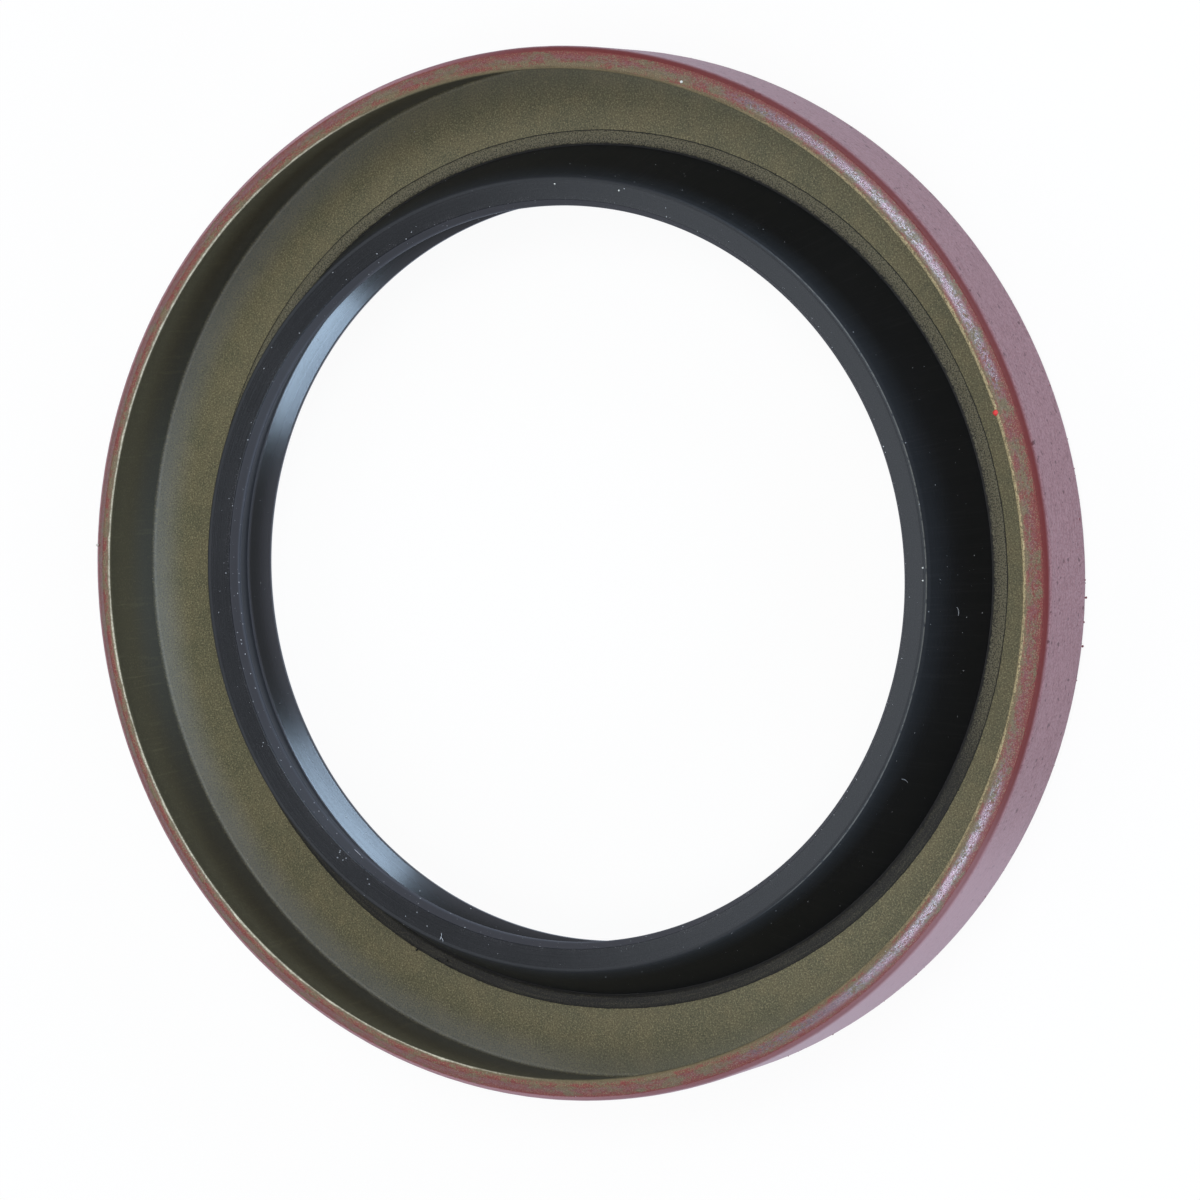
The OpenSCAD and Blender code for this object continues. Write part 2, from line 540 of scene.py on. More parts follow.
@dataclass(frozen=True)
class RedSealant(Finish):
    """Red sealing paint: a mauve bloom with dark grains on the wall, deep red round the bend that is partly
    painted shade, and painted sheen on two sides.
    """

    name: str = "red_sealant"
    cloud: Streaks = Streaks(6.0, 1.5, 3.0, 0.6)
    mottle: Grain = Grain(0.2, 3.0, 0.7, depth=0.03)
    streak: Streaks = Streaks(1.2, 0.14, 2.0, 0.6, depth=0.012)
    pits: Grain = Grain(0.5, 1.0, 0.4, depth=0.03)
    ground: Colour = paint(122, 75, 80)
    mauve: Stain = Stain(paint(150, 108, 113), 0.36, 0.6)
    scratch: Stain = Stain(paint(100, 42, 48), 0.45, 0.75)
    grit: Stain = Stain(scratch.colour, 0.38, 0.3, 0.8)
    pit: Stain = Stain(paint(84, 26, 34), 0.32, 0.26)
    # Coat's red on the bend, made darker as painted shade of the dark surroundings it reflects
    deep: Colour = paint(98, 24, 23)
    bend: Step = (8.48, 8.88)
    bend_wobble: float = 0.1
    # Painted sheen: paler mauve on wall and bend towards az 200, where the lamps reflect
    mauve_sheen: Stain = Stain(paint(182, 146, 154), 0.0, 0.8)
    mauve_sheen_side: Sector = (200.0, 46.0)
    mauve_sheen_wobble: float = 0.3
    mauve_sheen_share: Weights = (0.55, -0.3)
    # Painted sheen: paler bend on the far side of the ring
    far_mauve_sheen: Stain = Stain(mauve_sheen.colour, 0.0, 0.5, 0.6)
    far_side: Sector = (90.0, 110.0)
    metallic: float = 0.6
    roughness: Weights = (0.38, 0.2, 0.1, -0.34)
    coat: Weights = (0.2, -0.2)
    coat_roughness: float = 0.35
    edge: WornEdge = WornEdge()

    def dress(self, place: Place) -> None:
        """Paints wall, bend and worn edge, and pits them."""
        cloud = self.cloud.on(place, place.height)
        mottle = self.mottle.on(place)
        streak = self.streak.on(place, place.height)
        pits = self.pits.on(place)
        bend = (place.height + self.bend_wobble * mottle.swing()).rise(*self.bend)
        colour = self.mauve.over(mottle, self.ground)
        colour = self.scratch.over(streak, colour, cloud)
        colour = self.grit.over(mottle, colour)
        colour = self.pit.over(pits, colour)
        colour = place.blend(bend, colour, self.deep)
        sheen_reach = place.towards(*self.mauve_sheen_side) + self.mauve_sheen_wobble * cloud.swing()
        colour = self.mauve_sheen.over(sheen_reach, colour, weigh(self.mauve_sheen_share, bend))
        colour = self.far_mauve_sheen.over(place.towards(*self.far_side), colour, bend)
        colour, flecks = self.edge.over(place, colour)
        surface = {
            "Base Color": colour,
            "Metallic": self.metallic * flecks,
            "Roughness": weigh(self.roughness, mottle, bend, flecks),
            "Coat Weight": weigh(self.coat, bend),
            "Coat Roughness": self.coat_roughness,
        }
        bumps = ((mottle, self.mottle.depth), (streak, self.streak.depth), (pits, self.pits.depth))
        place.shade(surface, bumps)


@dataclass(frozen=True)
class BlackRubber(Finish):
    """Black moulded rubber: matt ribbed cone, smooth trimmed nose and glossy bore, with painted highlights
    in the bore and on the sealing edge.
    """

    name: str = "black_rubber"
    cloud: Grain = Grain(3.0, 3.0, 0.6)
    grain: Grain = Grain(0.1, 2.0, 0.6, depth=0.003)
    turned: Streaks = Streaks(14.0, 0.07, depth=0.005)
    scored: Streaks = Streaks(9.0, 0.14, 3.0, 0.6, depth=0.02)
    axial: Streaks = Streaks(0.18, 7.0, 2.0, 0.6, depth=0.004)
    tan_gaps: Grain = Grain(0.5, 3.0, 0.7)
    base: Colour = paint(15, 16, 19)
    pale: Colour = paint(60, 58, 61)
    # Paleness of each part below; the heel slope and the ridge under the hollow are painted highlight
    paleness: Weights = (0.0, 0.1, 0.25, 0.2, 0.25, 0.06, 0.85, 0.05, 0.75, 1.1, 0.8)
    front: Step = (7.85, 7.95)
    cone: Step = (32.0, 32.2)
    upper: Step = (4.2, 5.4)
    above_edge: Step = (7.05, 7.15)
    bore: Step = (7.1, 6.95)
    hollow: Step = (2.3, 1.85)
    ridge_top: Step = (2.5, 2.3)
    ridge_foot: Step = (1.85, 2.0)
    heel_slope: Step = (1.7, 0.6)
    bevel: Step = (30.22, 30.18)
    crumbly_inner: Step = (30.07, 30.27)
    crumbly_outer: Step = (30.72, 30.32)
    crumb_grain: Step = (0.55, 0.65)
    crumb_cloud: Step = (0.4, 0.6)
    axial_step: Step = (0.5, 0.8)
    nose_grain: Step = (0.55, 0.75)
    # Pale bluish line on the sealing edge: wear, and painted highlight
    lip_wear_and_highlight: Stain = Stain(paint(92, 96, 106), 29.86, 29.78, 0.6)
    # Pale tan line along the nose's outer corner, broken by noise, only on the side towards the camera; the
    # cone there is a little paler too
    tan: Stain = Stain(paint(138, 134, 124), 40.38, 40.42, 0.75)
    tan_gap_step: Step = (0.3, 0.5)
    camera_side: Sector = (262.0, 62.0)
    camera_side_step: Step = (0.0, 0.4)
    rounded: Step = (40.1, 40.3)
    roughness: Weights = (0.15, 0.05, 0.04, 0.25, 0.06, 0.42, 0.35, 0.15)
    tint: Colour = (0.84, 0.92, 1.0, 1.0)
    coat: Weights = (0.6, -0.35)
    coat_roughness: float = 0.2

    def dress(self, place: Place) -> None:
        """Paints nose, cone, lip and bore, and ribs them."""
        height = place.height
        outwards = place.radius + height
        cloud = self.cloud.on(place)
        grain = self.grain.on(place)
        turned = self.turned.on(place, outwards)
        axial = self.axial.on(place, height)
        front = height.rise(*self.front)
        cone = place.radius.rise(*self.cone)
        camera_facing = place.towards(*self.camera_side).rise(*self.camera_side_step)
        bore = (1 - cone) * height.rise(*self.bore)
        shoulder = bore * height.rise(*self.hollow)
        # Painted highlight: a pale ring on the ridge under the hollow
        ridge_highlight = bore * height.rise(*self.ridge_top) * height.rise(*self.ridge_foot)
        slope = height.rise(*self.heel_slope)
        cut = place.radius.rise(*self.bevel) * height.rise(*self.above_edge)
        crumbly = place.radius.rise(*self.crumbly_inner) * place.radius.rise(*self.crumbly_outer)
        crumbs = crumbly * grain.rise(*self.crumb_grain) * cloud.rise(*self.crumb_cloud)
        ribs = cone * axial.rise(*self.axial_step)
        specks = front * grain.rise(*self.nose_grain)
        parts = (cloud, front * turned, ribs, specks, cone * camera_facing, cut, bore, bore * slope, ridge_highlight, crumbs)
        colour = place.blend(weigh(self.paleness, *parts), self.base, self.pale)
        # Sealing edge line: wear, and painted highlight
        colour = self.lip_wear_and_highlight.over(place.radius, colour, turned)
        tan_gapped = self.tan_gaps.on(place).rise(*self.tan_gap_step)
        colour = self.tan.over(outwards, colour, tan_gapped * camera_facing)
        rounded = outwards.rise(*self.rounded) * (1 - cone)
        parts = (cloud, turned, rounded, front, cone, bore - shoulder, cut)
        surface = {
            "Base Color": colour,
            "Roughness": weigh(self.roughness, *parts),
            "Specular Tint": self.tint,
            "Coat Weight": shoulder * weigh(self.coat, slope),
            "Coat Roughness": self.coat_roughness,
        }
        scores = self.scored.on(place, height) * cone * height.rise(*self.upper)
        bumps = (
            (turned, self.turned.depth),
            (axial * cone, self.axial.depth),
            (scores, self.scored.depth),
            (grain, self.grain.depth),
        )
        place.shade(surface, bumps)


@dataclass(frozen=True)
class BondingFilm(Finish):
    """Thin stippled film that the rubber left on the flange, darker on one side of the ring."""

    name: str = "bonding_film"
    stipple: Grain = Grain(0.12, 3.0, 0.75, depth=0.04)
    rings: Streaks = Streaks(5.0, 0.16, 3.0, 0.6, depth=0.02)
    rags: Grain = Grain(0.25, 3.0, 0.7)
    rag_wobble: float = 0.35
    film: Colour = paint(112, 107, 84)
    root_radius: float = 34.8
    dark: Stain = Stain(paint(29, 28, 27), 0.0, 0.5)
    inner: Stain = Stain(dark.colour, root_radius + 0.9, root_radius + 0.15, 0.35)
    dark_side: Sector = (178.0, 82.0)
    ring_step: Step = (0.3, 0.6)
    ring_share: Weights = (0.8, 0.2)
    black: Stain = Stain(paint(22, 22, 24), 0.52, 0.38, 0.9)
    pale: Stain = Stain(paint(132, 128, 108), 0.5, 0.64, 0.9)
    pale_share: Weights = (1.0, -0.8)
    foot: Stain = Stain(black.colour, root_radius + 0.16, root_radius + 0.04)
    roughness: Weights = (0.5, 0.2)

    def dress(self, place: Place) -> None:
        """Paints the film, its dark side and the black line at the foot of the lip."""
        stipple = self.stipple.on(place)
        rings = self.rings.on(place, place.radius)
        ragged = place.radius + self.rag_wobble * self.rags.on(place).swing()
        side = place.towards(*self.dark_side)
        colour = self.inner.over(ragged, self.film)
        colour = self.dark.over(side, colour, weigh(self.ring_share, rings.rise(*self.ring_step)))
        colour = self.black.over(stipple, colour)
        dark_side = side.rise(self.dark.low, self.dark.high)
        colour = self.pale.over(stipple, colour, weigh(self.pale_share, dark_side))
        colour = self.foot.over(ragged, colour)
        surface = {"Base Color": colour, "Roughness": weigh(self.roughness, stipple)}
        place.shade(surface, ((stipple, self.stipple.depth), (rings, self.rings.depth)))


@dataclass(frozen=True)
class Speckled(Finish):
    """A plain colour broken by fine grain, for dust, lint and small blobs."""

    colour: Colour
    shadow: Colour
    roughness: float = 0.8
    grain: Grain = Grain(0.05, 1.0, depth=0.01)
    grain_step: Step = (0.3, 0.7)
    unevenness: Weights = (0.8, 0.4)

    def dress(self, place: Place) -> None:
        """Paints the grain."""
        grain = self.grain.on(place)
        surface = {
            "Base Color": place.blend(grain.rise(*self.grain_step), self.shadow, self.colour),
            "Roughness": self.roughness * weigh(self.unevenness, grain),
        }
        place.shade(surface, ((grain, self.grain.depth),))


@dataclass(frozen=True)
class Corner:
    """A corner of a section: its radius and height in millimetres and how far it is rounded."""

    radius: float
    height: float
    round: float = 0.0

    @property
    def place(self) -> Vector:
        """The corner as a point in the section's plane."""
        return Vector((self.radius, self.height))


@dataclass(frozen=True)
class Section:
    """A closed outline in the plane of radius and height."""

    corners: tuple[Corner, ...]
    spacing: float = 0.5
    arc_step: float = 12.0
    support: float = 0.03

    def points(self) -> list[Vector]:
        """The outline's points: arcs at its corners and evenly spaced points between them."""
        arcs = [self._arc(index) for index in range(len(self.corners))]
        outline: list[Vector] = []
        for index, arc in enumerate(arcs):
            following = arcs[(index + 1) % len(arcs)]
            outline += arc + self._between(arc[-1], following[0])
        return outline

    def _arc(self, index: int) -> list[Vector]:
        """Points of the arc that rounds one corner, or the corner itself."""
        corner = self.corners[index]
        if corner.round == 0:
            return [corner.place]
        before = self.corners[index - 1].place
        after = self.corners[(index + 1) % len(self.corners)].place
        inward = (before - corner.place).normalized()
        outward = (after - corner.place).normalized()
        half = inward.angle(outward) / 2
        centre = corner.place + (inward + outward).normalized() * (corner.round / math.sin(half))
        start = corner.place + inward * (corner.round / math.tan(half)) - centre
        end = corner.place + outward * (corner.round / math.tan(half)) - centre
        sweep = math.pi - 2 * half
        steps = max(2, math.ceil(math.degrees(sweep) / self.arc_step))
        shares = [step / steps for step in range(steps + 1)]
        whole = math.sin(sweep)
        return [
            centre + (start * math.sin(sweep * (1 - share)) + end * math.sin(sweep * share)) / whole
            for share in shares
        ]

    def _between(self, start: Vector, end: Vector) -> list[Vector]:
        """Points inside a straight stretch, with one close to each end that keeps its shading flat."""
        run = end - start
        if run.length < 4 * self.support:
            return []
        first = start + run.normalized() * self.support
        last = end - run.normalized() * self.support
        count = max(1, math.ceil((last - first).length / self.spacing))
        return [first.lerp(last, step / count) for step in range(count + 1)]


class NodeMaker(Bench):
    """Builds a Geometry Nodes tree with named inputs and runs it on a mesh."""

    KINDS = {int: "NodeSocketInt", float: "NodeSocketFloat"}
    THREAD_SIDES = 6

    def __init__(self, name: str, values: dict[str, float]) -> None:
        """Starts a tree.

        Args:
            name: the tree's name.
            values: its inputs after the geometry, where a whole number makes a count.
        """
        super().__init__(bpy.data.node_groups.new(name, "GeometryNodeTree"))
        self.values = values
        kinds = {label: self.KINDS[type(value)] for label, value in values.items()}
        for label, kind in {"Geometry": "NodeSocketGeometry", **kinds}.items():
            self.tree.interface.new_socket(label, in_out="INPUT", socket_type=kind)
        self.tree.interface.new_socket("Geometry", in_out="OUTPUT", socket_type="NodeSocketGeometry")
        self.source = self.node("NodeGroupInput")

    def input(self, name: str) -> Wire:
        """One of the tree's inputs as a wire."""
        return Wire(self, self.source.outputs[name])

    def shape(self, kind: str, output: str = "Geometry", **sockets: object) -> Wire:
        """A Geometry node's output; an underscore stands for a space in a socket's name."""
        spaced = {name.replace("_", " "): value for name, value in sockets.items()}
        return self.wire(f"GeometryNode{kind}", output, None, spaced)

    def position(self) -> Wire:
        """Where each point is."""
        return self.wire("GeometryNodeInputPosition", "Position")

    def circle(self, **sockets: object) -> Wire:
        """A flat circle about the origin."""
        return self.wire("GeometryNodeCurvePrimitiveCircle", "Curve", {"mode": "RADIUS"}, sockets)

    def thread(self, path: Wire, radius: Wire, **sockets: object) -> Wire:
        """Sweeps a thin round section along a path."""
        profile = self.circle(Resolution=self.THREAD_SIDES, Radius=radius)
        return self.shape("CurveToMesh", "Mesh", Curve=path, Profile_Curve=profile, **sockets)

    def run(
        self, name: str, mesh: bpy.types.Mesh, geometry: Wire, material: bpy.types.Material
    ) -> bpy.types.Object:
        """Ends the tree in Realize Instances, smooth shading and Set Material, and runs it.

        Args:
            name: name of the object that comes out.
            mesh: what goes in.
            geometry: what the tree has made of it.
            material: its finish.

        Returns:
            An object at the origin with a plain mesh and no modifier.
        """
        real = self.shape("RealizeInstances", Geometry=geometry)
        smooth = self.shape("SetShadeSmooth", Geometry=real)
        dressed = self.shape("SetMaterial", Geometry=smooth, Material=material)
        self.node("NodeGroupOutput", None, {"Geometry": dressed})
        seed = bpy.data.objects.new(f"{name}_seed", mesh)
        bpy.context.scene.collection.objects.link(seed)
        modifier = seed.modifiers.new("shape", "NODES")
        modifier.node_group = self.tree
        for item in self.tree.interface.items_tree:
            if item.in_out == "INPUT" and item.name in self.values:
                modifier[item.identifier] = self.values[item.name]
        graph = bpy.context.evaluated_depsgraph_get()
        made = bpy.data.meshes.new_from_object(seed.evaluated_get(graph), depsgraph=graph)
        bpy.data.objects.remove(seed)
        made.name = name
        piece = bpy.data.objects.new(name, made)
        bpy.context.scene.collection.objects.link(piece)
        return piece


def plain_mesh(name: str, points: list[Vector], edges: tuple = (), faces: tuple = ()) -> bpy.types.Mesh:
    """A mesh from points in metres, with edges or faces where they are given."""
    mesh = bpy.data.meshes.new(name)
    mesh.from_pydata(points, edges, faces)
    return mesh


def settle(piece: bpy.types.Object, slot: Slot, *nodes: str) -> bpy.types.Object:
    """Lets a finished piece ride on the body and hides the solids that it stands for."""
    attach(piece, BODY)
    if nodes:
        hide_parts(*nodes)
    log.info("%s: %d faces", piece.name, len(piece.data.polygons))
    return piece


@dataclass(frozen=True)
class Lathe:
    """Turns a section about the shaft's axis into a closed ring with slight waviness."""

    turns: int = 560
    waviness: float = 0.004
    wave_size: float = 2.0
    least_wave: float = 0.01
    weld: float = 0.0005

    def turn(self, name: str, section: Section, material: bpy.types.Material) -> bpy.types.Object:
        """Makes a ring.

        Args:
            name: the piece's name.
            section: its closed outline.
            material: its finish.

        Returns:
            The ring as an object with a plain mesh.
        """
        values = {"Turns": self.turns, "Waviness": self.waviness * MM, "Wave Size": self.wave_size * MM}
        maker = NodeMaker(f"{name}_lathe", values)
        outline = maker.input("Geometry")
        count = maker.shape("AttributeDomainSize", "Point Count", Geometry=outline)
        rows = maker.input("Turns") + 1
        grid = maker.shape("MeshGrid", "Mesh", Vertices_X=count + 1, Vertices_Y=rows)
        index = maker.shape("InputIndex", "Index")
        azimuth = (index % rows) * math.tau / maker.input("Turns")
        corner = maker.wire(
            "GeometryNodeSampleIndex",
            "Value",
            {"data_type": "FLOAT_VECTOR", "domain": "POINT"},
            {"Geometry": outline, "Value": maker.position(), "Index": (index / rows).floor() % count},
        )
        radius, _, height = maker.split(corner)
        place = maker.vector(radius * azimuth.cosine(), radius * azimuth.sine(), height)
        ring = maker.shape("SetPosition", Geometry=grid, Position=place)
        welded = maker.shape("MergeByDistance", Geometry=ring, Distance=self.weld * MM)
        seeds = plain_mesh(name, [Vector((point.x, 0, point.y)) * MM for point in section.points()])
        piece = maker.run(name, seeds, self._wave(maker, welded), material)
        face_outwards(piece.data)
        return piece

    def _wave(self, maker: NodeMaker, ring: Wire) -> Wire:
        """Moves the ring's points along their normals by smooth noise."""
        size = maker.input("Wave Size").most(self.least_wave * MM)
        noise = maker.noise(maker.scaled(maker.position(), 1 / size), 1.0)
        height = noise.swing() * maker.input("Waviness")
        offset = maker.scaled(maker.shape("InputNormal", "Normal"), height)
        return maker.shape("SetPosition", Geometry=ring, Offset=offset)


def face_outwards(mesh: bpy.types.Mesh) -> None:
    """Turns a closed mesh's faces outwards, which makes its volume positive."""
    shape = bmesh.new()
    shape.from_mesh(mesh)
    bmesh.ops.recalc_face_normals(shape, faces=shape.faces)
    if shape.calc_volume(signed=True) < 0:
        bmesh.ops.reverse_faces(shape, faces=shape.faces)
    shape.to_mesh(mesh)
    shape.free()


@dataclass
class SteelCase:
    """Stamped L-section case: flange, wall and curled front edge."""

    outer: float
    width: float
    bore: float = 33.2
    sheet: float = 0.8
    back_bend: float = 0.35
    curl_bend: float = 0.4
    curl_reach: float = 1.82
    curl_angle: float = 45.0
    edge_round: float = 0.06
    tip_roundness: float = 0.98
    lathe: Lathe = Lathe(waviness=0.006)

    def knees(self) -> tuple[Vector, Vector, Vector, Vector]:
        """Where the curl's two faces would meet the wall's, and where they end at the tip."""
        lean = math.radians(self.curl_angle)
        along = Vector((-math.sin(lean), math.cos(lean)))
        outwards = Vector((math.cos(lean), math.sin(lean))) * self.sheet / 2
        tip = Vector((self.outer - self.curl_reach + self.sheet / 2, self.width - self.sheet / 2))
        end = tip + along * self.sheet / 2

        def knee(side: Vector, radius: float) -> Vector:
            """Where a face of the curl would meet a face of the wall."""
            return side + along * (radius - side.x) / along.x

        inner = self.outer - self.sheet
        return knee(tip + outwards, self.outer), knee(tip - outwards, inner), end + outwards, end - outwards

    def section(self) -> Section:
        """The outline of the sheet."""
        outer_knee, inner_knee, outer_tip, inner_tip = self.knees()
        inner = self.outer - self.sheet
        tip_round = self.sheet / 2 * self.tip_roundness
        return Section(
            (
                Corner(self.bore, 0, self.edge_round),
                Corner(self.outer, 0, self.back_bend + self.sheet),
                Corner(*outer_knee, self.curl_bend + self.sheet),
                Corner(*outer_tip, tip_round),
                Corner(*inner_tip, tip_round),
                Corner(*inner_knee, self.curl_bend),
                Corner(inner, self.sheet, self.back_bend),
                Corner(self.bore, self.sheet, self.edge_round),
            )
        )

    def build(self) -> bpy.types.Object:
        """Turns the case and dresses it."""
        ring = self.lathe.turn("steel_case", self.section(), PhosphatedSteel().build())
        return settle(ring, Slot.STEEL, "case")


@dataclass
class SealantCoat:
    """Red sealant on the outside of the wall and round its two bends."""

    case: SteelCase
    outer: float
    back_wrap: float = 50.0
    taper: float = 18.0
    thinnest: float = 0.05
    arc_steps: int = 9
    lathe: Lathe = Lathe(720, 0.03, 0.9)

    def section(self) -> Section:
        """The outline of the coat: an outer skin and the steel's own outside."""
        steel = self.case
        coat = self.outer - steel.outer
        bend = steel.back_bend + steel.sheet
        curl = steel.curl_bend + steel.sheet
        outer_knee = steel.knees()[0]
        curl_height = outer_knee.y - curl * math.tan(math.radians(steel.curl_angle) / 2)
        outline: list[Corner] = []
        for skin in (coat, 0.0):
            back = self._arc(Corner(steel.outer - bend, bend), bend, skin, -self.back_wrap, 0)
            front = self._arc(Corner(steel.outer - curl, curl_height), curl, skin, 0, steel.curl_angle)
            outline += back + front if skin else reversed(back + front)
        return Section(tuple(outline))

    def _arc(self, centre: Corner, size: float, skin: float, start: float, end: float) -> list[Corner]:
        """Corners of an arc between two angles in degrees, over a skin that thins out at its free end."""
        corners = []
        for step in range(self.arc_steps + 1):
            angle = start + (end - start) * step / self.arc_steps
            left = min(1.0, (abs(start - end) - abs(angle)) / self.taper + self.thinnest)
            reach = size + skin * left
            lean = math.radians(angle)
            radius = centre.radius + reach * math.cos(lean)
            corners.append(Corner(radius, centre.height + reach * math.sin(lean)))
        return corners

    def build(self) -> bpy.types.Object:
        """Turns the coat and dresses it."""
        ring = self.lathe.turn("red_sealant", self.section(), RedSealant().build())
        return settle(ring, Slot.SEALANT, "sealant_coat")


@dataclass
class RubberElement:
    """Rubber bonded round the flange's inner edge: heel, hollow, lip and trimmed nose."""

    edge: float
    case: SteelCase
    land: float = 0.25
    nose_recess: float = 1.55
    nose_width: float = 2.3
    nose_slope: float = 12.0
    nose_round: float = 0.25
    bevel_width: float = 0.5
    bevel_depth: float = 0.9
    bevel_round: float = 0.06
    air_angle: float = 22.5
    hollow_height: float = 2.05
    hollow_fillet: float = 0.2
    edge_round: float = 0.2
    heel: float = 30.4
    heel_height: float = 0.65
    shoulder_round: float = 0.2
    heel_round: float = 0.3
    root: float = 34.8
    recess: float = 0.15
    lathe: Lathe = Lathe(waviness=0.008, wave_size=3.0)

    def section(self) -> Section:
        """The outline of the rubber."""
        nose = self.case.width - self.nose_recess
        bevel = nose - (self.nose_width - self.bevel_width) * math.tan(math.radians(self.nose_slope))
        lip = bevel - self.bevel_depth
        hollow = self.edge + (lip - self.land - self.hollow_height) * math.tan(math.radians(self.air_angle))
        return Section(
            (
                Corner(self.case.bore, self.recess),
                Corner(self.case.bore, self.case.sheet),
                Corner(self.root, self.case.sheet),
                Corner(self.edge + self.nose_width, nose, self.nose_round),
                Corner(self.edge + self.bevel_width, bevel, self.bevel_round),
                Corner(self.edge, lip, self.edge_round),
                Corner(self.edge, lip - self.land, self.edge_round),
                Corner(hollow, self.hollow_height, self.hollow_fillet),
                Corner(self.heel, self.heel_height, self.shoulder_round),
                Corner(self.heel, self.recess, self.heel_round),
            )
        )

    def build(self) -> bpy.types.Object:
        """Turns the element and dresses it."""
        ring = self.lathe.turn("rubber_element", self.section(), BlackRubber().build())
        return settle(ring, Slot.RUBBER, "sealing_element")


@dataclass
class MouldFlash:
    """What the mould left on the flange: a thin film and the fine wavy bead at its border."""

    element: RubberElement
    border: float = 35.92
    border_slope: float = 0.15
    border_height: float = 0.01
    border_round: float = 0.1
    film_thickness: float = 0.05
    film_depth: float = 0.02
    film_spacing: float = 0.2
    root_rise: float = 0.22
    root_reach: float = 0.25
    root_fillet: float = 0.2
    root_lap: float = 0.05
    root_round: float = 0.05
    root_slope: float = 0.1
    root_cover: float = 0.2
    bead_radius: float = 0.045
    bead_wobble: float = 0.09
    bead_points: int = 3000
    fine_wobble: float = 0.35
    broad_wobble: float = 4.0
    swell_size: float = 0.8
    swell: Weights = (0.6, 0.8)
    bead_paint: Speckled = Speckled("flash_bead", paint(34, 34, 32), paint(22, 22, 22), 0.6)
    lathe: Lathe = Lathe(900, 0.02, 0.3)

    def section(self) -> Section:
        """The film's outline, which climbs a little way up the foot of the lip."""
        floor = self.element.case.sheet
        foot = self.element.root
        film = floor + self.film_thickness
        return Section(
            (
                Corner(foot - self.root_cover, floor - self.film_depth),
                Corner(self.border, floor - self.film_depth),
                Corner(self.border, floor + self.border_height),
                Corner(self.border - self.border_slope, film, self.border_round),
                Corner(foot + self.root_reach, film, self.root_fillet),
                Corner(foot - self.root_lap, floor + self.root_rise, self.root_round),
                Corner(foot - self.root_cover, floor + self.root_rise - self.root_slope),
            ),
            spacing=self.film_spacing,
        )

    def build(self) -> list[bpy.types.Object]:
        """Makes the film and the bead."""
        film = self.lathe.turn("flash_film", self.section(), BondingFilm().build())
        return [settle(film, Slot.STEEL), settle(self._bead(), Slot.RUBBER)]

    def _bead(self) -> bpy.types.Object:
        """Sweeps a thin thread along a wobbling circle."""
        sizes = {"Radius": self.border, "Thread": self.bead_radius, "Wobble": self.bead_wobble}
        maker = NodeMaker("flash_bead_path", {name: size * MM for name, size in sizes.items()})
        circle = maker.circle(Resolution=self.bead_points, Radius=maker.input("Radius"))
        position = maker.position()
        fine = maker.noise(position, self.fine_wobble * MM).swing()
        broad = maker.noise(position, self.broad_wobble * MM, 1.0).swing()
        share = 1 + (fine + broad) * maker.input("Wobble") / maker.input("Radius")
        moved = maker.scaled(position, share)
        lift = maker.vector(0.0, 0.0, self.element.case.sheet * MM)
        path = maker.shape("SetPosition", Geometry=circle, Position=moved, Offset=lift)
        swell = weigh(self.swell, maker.noise(position, self.swell_size * MM))
        thread = maker.thread(path, maker.input("Thread"), Scale=swell)
        return maker.run("flash_bead", plain_mesh("flash_bead", []), thread, self.bead_paint.build())


@dataclass(frozen=True)
class Band:
    """A part of the ring between two radii and two heights, in millimetres."""

    inner: float = 0.0
    outer: float = 99.0
    bottom: float = -1.0
    top: float = 99.0

    def holds(self, maker: NodeMaker) -> Wire:
        """1 for points in the band, 0 for others."""
        east, north, height = maker.split(maker.position())
        radius = maker.off_axis(east, north)
        inside: Value = 1.0
        for value, low, high in ((radius, self.inner, self.outer), (height, self.bottom, self.top)):
            inside = inside * value.above(low * MM) * (1 - value.above(high * MM))
        return inside


@dataclass
class Dust:
    """Small specks or crumbs scattered over the faces of a piece."""

    name: str
    slot: Slot
    colour: Colour = paint(205, 208, 214)
    per_square_cm: float = 6.0
    smallest: float = 0.015
    largest: float = 0.055
    height_share: float = 0.4
    band: Band = Band()
    upwards: float = 0.12
    seed: int = 3
    width_share: float = 0.8
    rareness: int = 4
    size_seed: int = 11
    shadow: float = 0.5

    def build(self, carrier: bpy.types.Object) -> bpy.types.Object:
        """Scatters the specks.

        Args:
            carrier: the piece that they lie on.

        Returns:
            All specks as one piece.
        """
        values = {
            "Density": self.per_square_cm / SQUARE_CM,
            "Seed": self.seed,
            "Smallest": self.smallest * MM,
            "Largest": self.largest * MM,
        }
        maker = NodeMaker(f"{self.name}_scatter", values)
        _, _, upwards = maker.split(maker.shape("InputNormal", "Normal"))
        scatter = maker.node(
            "GeometryNodeDistributePointsOnFaces",
            {"distribute_method": "RANDOM"},
            {
                "Mesh": maker.input("Geometry"),
                "Selection": upwards.above(self.upwards) * self.band.holds(maker),
                "Density": maker.input("Density"),
                "Seed": maker.input("Seed"),
            },
        )
        draw = {"Min": 0.0, "Max": 1.0, "Seed": self.size_seed}
        luck = maker.wire("FunctionNodeRandomValue", "Value", {"data_type": "FLOAT"}, draw)
        smallest = maker.input("Smallest")
        size = smallest + luck**self.rareness * (maker.input("Largest") - smallest)
        specks = maker.shape(
            "InstanceOnPoints",
            "Instances",
            Points=scatter.outputs["Points"],
            Instance=maker.shape("MeshIcoSphere", "Mesh", Radius=1.0, Subdivisions=1),
            Rotation=scatter.outputs["Rotation"],
            Scale=maker.vector(size, size * self.width_share, size * self.height_share),
        )
        finish = Speckled(self.name, self.colour, shaded(self.colour, self.shadow))
        return settle(maker.run(self.name, carrier.data.copy(), specks, finish.build()), self.slot)


